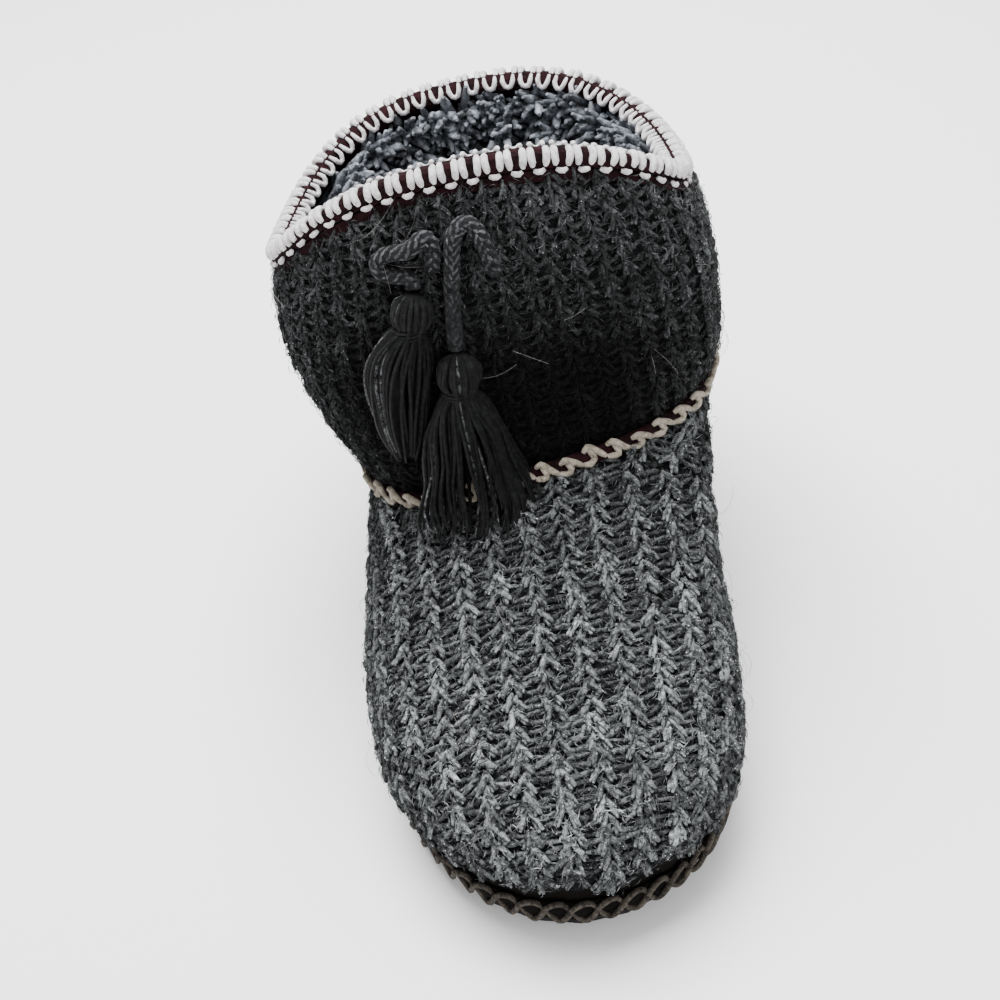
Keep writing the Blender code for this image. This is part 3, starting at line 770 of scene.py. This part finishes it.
def shaftTracks(tree, offset):
    # upright lines round the shaft, an even way apart at the middle of its height
    turns = np.linspace(0, 2 * math.pi, 361)
    ring = np.array([
        hitFromOutside(tree, shaftMiddle(0.125), Vector((math.sin(a), -math.cos(a), 0))) for a in turns])
    lengths = lengthsAlong(ring)
    count = round(lengths[-1] / knitSettings["pitch"]["shaft"])
    tracks = []
    for number in range(count):
        turn = np.interp((number + offset) / count * lengths[-1], lengths, turns)
        direction = Vector((math.sin(turn), -math.cos(turn), 0))
        rows = [hitFromOutside(tree, shaftMiddle(z), direction) for z in np.arange(0.05, 0.19, 0.0015)]
        rows = np.array([row for row in rows if row])
        above = rows[-1].copy()
        above[:3] += (rows[-1] - rows[-3])[:3]  # over the lower edge of the collar's tape
        tracks.append(np.vstack([rows, above]))
    return tracks


def clamp(value):
    return max(0.0, min(1.0, value))


def footPaintedShade(point, out):
    # painted light and shade: the top of the foot is painted lighter than its sides, where light from above
    # falls, and the toes lighter than the ankle end
    tones = paintedShadeSettings["foot"]
    top = clamp(1.35 * out.z + 0.1)
    toes = clamp((-point.y - 0.02) / 0.06)
    tip = clamp((-point.y - 0.08) / 0.04)
    return (tones["side"] + tones["top"] * top) * (tones["ankle"] + tones["toes"] * toes + tones["tip"] * tip)


def shaftPaintedShade(point, _):
    # painted shade: the front of the shaft is painted almost black below its top, where light from above
    # falls least
    tones = paintedShadeSettings["shaft"]
    low = clamp((0.176 - point.z) / 0.05)
    turned = (point - shaftMiddle(point.z)).normalized()
    facing = clamp((-turned.y - 0.42) / 0.48)
    return tones["plain"] - tones["front"] * low * facing


def stitchPlaces(tracks, plan, paintedShadeOf):
    # the places of the stitches' legs, for each course of each track
    course = plan["course"]
    loose = looseSettings
    places = []
    for rows in tracks:
        track = smoothTrack(rows)
        if track is None:
            continue
        start = (lengthsAlong(track)[-1] - 0.5 * course) % course + 0.2 * course * (dice.random() - 0.5)
        for point, across, along, out in framesAlong(track, course, max(0.0, start)):
            # a course's tone: its own tone, a random one, and the painted light and shade of its spot
            tone = plan["tone"] * paintedShadeOf(point, out) * math.exp(loose["tone"] * dice.standard_normal())
            for aside, ahead, turn, rise, tilt in plan["legs"]:
                turn = math.radians(turn + loose["turn"] * dice.standard_normal())
                heading = along * math.cos(turn) + across * math.sin(turn)
                tilt = math.radians(tilt + loose["tilt"] * dice.standard_normal())
                heading = (heading - out * math.sin(tilt)).normalized()
                sideways = heading.cross(out).normalized()
                wobble = loose["place"] * dice.standard_normal(3)
                place = point + across * (aside + wobble[0]) + along * (ahead + wobble[1])
                place = place + out * (rise + wobble[2])
                girth = 1 + loose["girth"] * dice.standard_normal()
                reach = 1 + loose["length"] * dice.standard_normal()
                shade = tone * math.exp(loose["legTone"] * dice.standard_normal())
                size = (girth, reach, girth)
                places.append((place, sideways, heading, sideways.cross(heading), size, shade))
    return places


def fuzzPlaces(spots, each):
    # loose fibres that lie over the stitches every which way
    places = []
    for point, sideways, heading, out, _, tone in spots:
        for _ in range(each):
            turn = 2 * math.pi * dice.random()
            along = sideways * math.cos(turn) + heading * math.sin(turn)
            along = (along + out * (0.5 * dice.random() - 0.1)).normalized()
            across = along.cross(out).normalized()
            off = 0.0014 * dice.standard_normal(2)
            place = point + sideways * off[0] + heading * off[1] + out * (0.0006 + 0.0009 * dice.random())
            size = (1, 0.5 + dice.random(), 1)
            shade = tone * (0.4 + 2.0 * dice.random() ** 2)
            places.append((place, across, along, across.cross(along), size, shade))
    return places


def addKnit():
    trees = {"foot": surfaceTree("upper"), "shaft": surfaceTree("shaft")}
    paintedShades = {"foot": footPaintedShade, "shaft": shaftPaintedShade}
    pitch = knitSettings["pitch"]["foot"]
    girths = [
        lengthsAlong(overTheFoot(trees["foot"], knitSettings["ankleFront"], side))[-1] for side in (-1, 1)]
    girthShift = girths[0] % pitch - girths[1] % pitch
    spots = {}
    for name, plan in stitchSettings.items():
        tree = trees[plan["part"]]
        if plan["part"] == "foot":
            tracks = [
                track for side in (-1, 1) for track in footTracks(tree, side, plan["offset"], girthShift)]
        else:
            tracks = shaftTracks(tree, plan["offset"])
        spots[name] = stitchPlaces(tracks, plan, paintedShades[plan["part"]])
        stitch = pliesShape(plan["length"], plan["width"], knitFinish, plan["points"])
        ride(layCopies(name, stitch, spots[name]))
    print("knit worked")
    return spots


# The chain-stitched trims

def bandRing(name, axis, cuts, carriers):
    # closed rows round a band's node: its middle, the way out, half its depth and half its height
    work = bmesh.new()
    work.from_mesh(nodes[name].data)
    bmesh.ops.remove_doubles(work, verts=work.verts, dist=1e-6)
    trees = [surfaceTree(carrier) for carrier in carriers]
    rows = []
    for number in range(cuts):
        turn = 2 * math.pi * number / cuts
        direction = Vector((math.sin(turn), -math.cos(turn), 0))
        normal = Vector((math.cos(turn), math.sin(turn), 0))
        copy = work.copy()
        everything = copy.verts[:] + copy.edges[:] + copy.faces[:]
        cut = bmesh.ops.bisect_plane(copy, geom=everything, plane_co=axis, plane_no=normal)["geom_cut"]
        points = [v.co.copy() for v in cut if isinstance(v, bmesh.types.BMVert)]
        copy.free()
        points = np.array([p for p in points if (p - Vector(axis)).dot(direction) > 0])
        middle = Vector((points.min(axis=0) + points.max(axis=0)) / 2)
        carried = [tree.find_nearest(middle + direction * 0.01)[1] for tree in trees]
        out = sum(carried, direction * 0.3).normalized()
        offsets = points - np.array(middle)
        depth = np.abs(offsets @ np.array(out)).max()
        height = np.abs(offsets @ np.array(out.cross(normal))).max()
        rows.append((*middle, *out, depth, height))
    work.free()
    return np.array(rows + rows[:1])


def ringFrames(rows, count):
    # even places round a ring: (point, out, up, half depth, half height)
    lengths = lengthsAlong(rows)
    wrapped = np.concatenate([rows[-4:-1], rows, rows[1:4]])
    reach = np.concatenate([lengths[-4:-1] - lengths[-1], lengths, lengths[-1] + lengths[1:4]])
    places = np.arange(count) / count * lengths[-1]
    soft = [resample(wrapped, reach, places + shift) for shift in (-0.004, -0.002, 0, 0.002, 0.004)]
    here = sum(soft) / len(soft)
    frames = []
    for number in range(count):
        along = Vector(here[(number + 1) % count][:3] - here[number - 1][:3]).normalized()
        out = Vector(here[number][3:6])
        out = (out - along * out.dot(along)).normalized()
        up = out.cross(along)
        frames.append((Vector(here[number][:3]), out, up if up.z > 0 else -up, *here[number][6:]))
    return frames


# A chain's strands are listed as points of (links along, half heights up, half depths out) of its band.
trimSettings = {
    "sole": {
        "axis": (0.003, 0.0, 0.0), "cuts": 120, "links": 78, "steps": 10, "yarn": 0.0018, "height": 0.0094,
    },
    "ankle": {
        "axis": (0.001, 0.047, 0.0), "cuts": 100, "links": 56, "steps": 24, "yarn": 0.0019,
        "strands": (
            ((-0.36, -0.72, 1.0), (-0.16, -0.86, 1.25), (0.02, -0.84, 1.3), (0.12, -0.45, 1.3),
             (0.05, 0.35, 1.3), (-0.02, 1.0, 1.2)),
            ((-0.24, 0.62, 1.05), (-0.06, 1.05, 1.4), (0.14, 0.80, 1.4), (0.36, 0.0, 1.3),
             (0.60, -0.72, 1.05)),
        ),
    },
    "collar": {
        "axis": (-0.006, 0.052, 0.0), "cuts": 100, "links": 64, "steps": 24, "yarn": 0.0020,
        "strands": (
            ((-0.19, 0.0, 1.05), (-0.19, 0.35, 1.15), (-0.18, 0.80, 0.95), (-0.17, 1.02, 0.45),
             (-0.18, 0.9, -0.05)),
            ((0.19, 0.0, 1.05), (0.19, 0.35, 1.15), (0.18, 0.80, 0.95), (0.17, 1.02, 0.45),
             (0.18, 0.9, -0.05)),
        ),
        "barYarn": 0.0015,
        "bars": (
            ((0.26, -0.40, 1.10), (0.36, -0.50, 1.2), (0.50, -0.53, 1.2), (0.64, -0.50, 1.2),
             (0.74, -0.40, 1.10)),
            ((0.20, 1.0, -0.35), (0.22, 0.78, -0.92), (0.35, 0.30, -1.15), (0.50, 0.22, -1.18),
             (0.65, 0.30, -1.15), (0.78, 0.78, -0.92), (0.80, 1.0, -0.35)),
        ),
    },
}


def trimFrames(settings, node, carriers):
    rows = bandRing(node, settings["axis"], settings["cuts"], carriers)
    return ringFrames(rows, settings["links"] * settings["steps"])


def chainStrands(frames, settings, kind):
    # the strand of each pattern of a kind, once for every link round a band
    steps = settings["steps"]
    strands = []
    for link in range(settings["links"]):
        for pattern in settings[kind]:
            points = []
            for aside, rise, reach in pattern:
                point, out, up, depth, height = frames[round((link + aside) * steps) % len(frames)]
                wobble = 0.00012 * dice.standard_normal()
                points.append(point + up * (rise * height + wobble) + out * (reach * depth))
            strands.append(smoothRoute(points, 0.0011))
    return strands


def addSoleChain():
    # two yarns that wave against each other: rounded arches above the crossings, deeper ones below
    settings = trimSettings["sole"]
    steps = settings["steps"]
    frames = trimFrames(settings, "sole_braid", ["rand"])
    strands = []
    for mirror in (1, -1):
        points = []
        for number, (point, out, up, depth, _) in enumerate(frames):
            wave = math.sin(math.pi * number / steps) * mirror
            over = math.cos(math.pi * number / steps) * mirror
            rise = 0.06 + (0.42 * wave ** 0.6 if wave > 0 else 0.58 * wave)
            proud = depth + settings["yarn"] * (0.1 + 0.35 * over)
            points.append(point + up * (rise * settings["height"]) + out * proud)
        strands.append(np.array(points))
    ride(yarnTubes("soleChain", strands, settings["yarn"], taupeFinish, closed=True))


def addBandChain(name, carriers, finish):
    settings = trimSettings[name]
    frames = trimFrames(settings, name + "_braid", carriers)
    taper = ([0, 0.2, 0.8, 1], [0.7, 1.05, 1.05, 0.7])
    strands = chainStrands(frames, settings, "strands")
    ride(yarnTubes(name + "Chain", strands, settings["yarn"], finish, taper=taper, sides=2))
    if "bars" in settings:
        bars = chainStrands(frames, settings, "bars")
        ride(yarnTubes(name + "Bars", bars, settings["barYarn"], finish, taper=taper))


def addTrims():
    addSoleChain()
    addBandChain("ankle", ["upper", "shaft"], beigeFinish)
    addBandChain("collar", [], whiteFinish)
    print("trims laid")


# The pile that lines the shoe

pileSettings = {
    "wallTufts": 2250, "insoleTufts": 900, "toeShare": 0.3, "wallLength": 0.0090, "insoleLength": 0.0063,
    "lock": 0.0028, "rootDepth": 0.0008,
    "floor": 0.016, "highest": 0.182, "raisedEdge": 0.016, "checkedTo": 0.125,
}


def tuftShape(length, chance):
    # three blunt locks that lean apart
    locks = []
    for number in range(3):
        turn = 2 * math.pi * (number / 3 + 0.1 * chance.random())
        lean = Vector((math.cos(turn), math.sin(turn), 0))
        reach = length * (0.75 + 0.35 * chance.random())
        locks.append(np.array([
            lean * (0.0009 + 0.30 * reach * share ** 2)
            + Vector((0, 0.25 * reach * share ** 2, reach * share))
            for share in (0, 0.35, 0.7, 1)]))
    taper = ([0, 0.35, 0.75, 1], [0.8, 1, 0.95, 0.4])
    return yarnTubes("tuftShape", locks, pileSettings["lock"], pileFinish, taper=taper, sides=0)


def tuftPlace(point, heading, chance):
    # a tuft at a point, swayed a little and turned any way
    sway = Vector(chance.standard_normal(3)) * 0.3
    heading = (heading.normalized() + sway * min(1.0, 0.6 / sway.length)).normalized()
    across = heading.orthogonal().normalized()
    across = Matrix.Rotation(2 * math.pi * chance.random(), 3, heading) @ across
    size = 0.75 + 0.5 * chance.random()
    return point, across, heading.cross(across), heading, (size,) * 3, 0.5 + 1.0 * chance.random()


def wallPlaces(chance):
    # spots on the inner wall, closer together towards the collar
    tree = surfaceTree("lining", "upper")

    def wallSpot(turn, level):
        direction = Vector((math.sin(turn), -math.cos(turn), 0))
        point, _, _, distance = tree.ray_cast(shaftMiddle(level), direction)
        return point if point is not None and distance < 0.09 else None

    turns = np.linspace(0, 2 * math.pi, 73)
    levels = np.arange(pileSettings["highest"], 0.1, -0.001)
    tops = [next(z for z in levels if wallSpot(turn, z) is not None) for turn in turns]
    places = []
    while len(places) < pileSettings["wallTufts"]:
        turn = 2 * math.pi * chance.random()
        top = np.interp(turn, turns, tops)
        below = (top - pileSettings["floor"]) * chance.random() ** 1.7
        point = wallSpot(turn, top - below)
        if point is not None:
            outward = Vector((math.sin(turn), -math.cos(turn), 0))
            lift = max(0.0, 1 - below / pileSettings["raisedEdge"])  # up against the tape
            lift = lift * (0.7 + 0.6 * chance.random())
            heading = Vector((0, 0, 1.1 * lift - 0.2)) - outward
            places.append(tuftPlace(point - outward * pileSettings["rootDepth"], heading, chance))
    return places


def insolePlaces(chance):
    # spots on the footbed, fewer in the toe, where nothing shows
    mesh = nodes["insole"].data
    faces = [face for face in mesh.polygons if face.normal.z > 0.5]
    toeShare = pileSettings["toeShare"]
    areas = np.array([face.area * (1 if face.center.y > -0.02 else toeShare) for face in faces])
    places = []
    for pick in chance.choice(len(faces), pileSettings["insoleTufts"], p=areas / areas.sum()):
        corners = [mesh.vertices[v].co for v in faces[pick].vertices[:3]]
        shares = chance.dirichlet((1, 1, 1))
        point = sum((corner * share for corner, share in zip(corners, shares)), Vector())
        places.append(tuftPlace(point, Vector((0, 0, 1)), chance))
    return places


def wallBeyond(tree, point):
    # whether the shoe's wall stands outside a point of the pile, or the point is up by the collar
    middle = shaftMiddle(point.z) if point.z > 0.06 else Vector((0.002, min(point.y, 0.06), point.z))
    outward = (point - middle) * Vector((1, 1, 0))
    high = point.z > pileSettings["checkedTo"]
    return high or tree.ray_cast(point, outward.normalized())[0] is not None


def keptInside(places, shape):
    # the places where no lock of the tuft comes out through the wall
    tree = surfaceTree("upper", "shaft", "rand")
    corners = [vert.co.copy() for vert in shape.data.vertices]
    kept = []
    for place in places:
        turn = Matrix(place[1:4]).transposed() * place[4][0]
        if all(wallBeyond(tree, place[0] + turn @ corner) for corner in corners):
            kept.append(place)
    return kept


def addPile():
    chance = np.random.default_rng(11)
    for part, placesOf in (("wall", wallPlaces), ("insole", insolePlaces)):
        tuft = tuftShape(pileSettings[part + "Length"], chance)
        ride(layCopies(part + "Pile", tuft, keptInside(placesOf(chance), tuft)))
    print("pile brushed")


# The fibres that stand off the wool

hairSettings = {
    "fuzz": {"length": 0.0036, "width": 0.00025, "foot": (9, 8), "shaft": (4, 3)},  # a rib's leg, a rung's
    "long": {"count": 70, "length": 0.010, "width": 0.00011},
}


def addFuzz(spots):
    settings = hairSettings["fuzz"]
    for part in ("foot", "shaft"):
        places = fuzzPlaces(spots[part + "Ribs"], settings[part][0])
        places = places + fuzzPlaces(spots[part + "Rungs"], settings[part][1])
        fibre = fibreShape(settings["length"], settings["width"], fuzzFinish)
        ride(layCopies(part + "Fuzz", fibre, places))
    print("fuzz raised")


def addLongHairs(spots):
    settings = hairSettings["long"]
    ribs = spots["footRibs"] + spots["shaftRibs"]
    strands = []
    for pick in dice.choice(len(ribs), settings["count"]):
        point, sideways, heading, out = ribs[pick][:4]
        turn = 2 * math.pi * dice.random()
        along = sideways * math.cos(turn) + heading * math.sin(turn)
        across = along.cross(out)
        reach = settings["length"] * (0.5 + dice.random())
        bow = 0.5 * dice.standard_normal()
        strands.append(np.array([
            point + along * (reach * t) + across * (reach * bow * t * t)
            + out * (0.0015 + 0.010 * t * (1 - t))
            for t in np.linspace(0, 1, 7)]))
    ride(yarnTubes("longHairs", strands, settings["width"], hairFinish, sides=0))
    print("long hairs laid")


addCamera()
addStage()
dressCadNodes()
addTie(addTassels())
knitSpots = addKnit()
addFuzz(knitSpots)
addLongHairs(knitSpots)
addTrims()
addPile()
